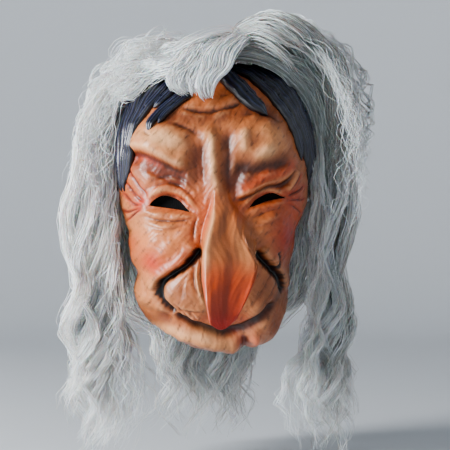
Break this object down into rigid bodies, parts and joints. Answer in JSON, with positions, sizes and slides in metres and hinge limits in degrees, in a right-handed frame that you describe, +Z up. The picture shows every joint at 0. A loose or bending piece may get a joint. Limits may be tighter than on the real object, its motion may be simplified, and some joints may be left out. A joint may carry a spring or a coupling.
{
  "type": "latex halloween mask",
  "caption": "Latex crone mask with a long drooping nose, moulded dark fringe and a wig of long wavy white hair.",
  "frame": {"origin": "middle of the wearer's head, level with the eye holes and in line with the ears", "axes": "+Z up the wearer's head, the face looks along -Y, +X to the wearer's left"},
  "size_m": [0.2974, 0.3059, 0.4307],
  "materials": {
    "latex": "satin, airbrushed",
    "latex_patch": "matt",
    "black_gauze": "matt",
    "rivet": "satin",
    "net": "matt",
    "cotton_tape": "matt",
    "elastic": "matt",
    "slider": "satin",
    "white_hair": "glossy synthetic fibre"
  },
  "bodies": {
    "mask": {"latex_face": "latex", "eye_screen_left": "black_gauze", "eye_screen_right": "black_gauze", "strap_patch_left": "latex_patch", "strap_patch_right": "latex_patch", "strap_rivet_left": "rivet", "strap_rivet_right": "rivet", "wig_cap": "net", "cap_front_band": "cotton_tape", "cap_nape_band": "cotton_tape", "hair_weft_1": "cotton_tape", "hair_weft_2": "cotton_tape", "hair_weft_3": "cotton_tape", "hair_weft_4": "cotton_tape", "hair_weft_5": "cotton_tape", "hair_crown_front": "white_hair", "hair_crown_back": "white_hair", "hair_tuft_right": "white_hair", "hair_curl_left": "white_hair"},
    "strap": {"elastic_strap": "elastic"},
    "slider": {"strap_slider": "slider"},
    "forelock": {"hair_forelock": "white_hair"},
    "side_hair_left": {"hair_side_left": "white_hair"},
    "side_hair_right": {"hair_side_right": "white_hair"},
    "back_hair": {"hair_back_left": "white_hair", "hair_back_middle": "white_hair", "hair_back_right": "white_hair"}
  },
  "joints": [
    {"name": "strap_swing", "type": "hinge", "parent": "mask", "child": "strap", "pos_m": [0, 0, 0.015], "axis": [1, 0, 0], "range_deg": [-28, 12]},
    {"name": "slider_slide", "type": "slide", "parent": "strap", "child": "slider", "axis": [1, 0, 0], "range_m": [-0.03, 0.03]},
    {"name": "forelock_lift", "type": "hinge", "parent": "mask", "child": "forelock", "pos_m": [0, -0.0336, 0.156], "axis": [-1, 0, 0], "range_deg": [0, 40]},
    {"name": "side_hair_left_swing", "type": "hinge", "parent": "mask", "child": "side_hair_left", "pos_m": [0.1436, 0.014, 0.055], "axis": [0, -1, 0], "range_deg": [0, 16]},
    {"name": "side_hair_right_swing", "type": "hinge", "parent": "mask", "child": "side_hair_right", "pos_m": [-0.1436, 0.014, 0.055], "axis": [0, 1, 0], "range_deg": [0, 16]},
    {"name": "back_hair_swing", "type": "hinge", "parent": "mask", "child": "back_hair", "pos_m": [0, 0.151, 0.055], "axis": [1, 0, 0], "range_deg": [0, 20]}
  ]
}
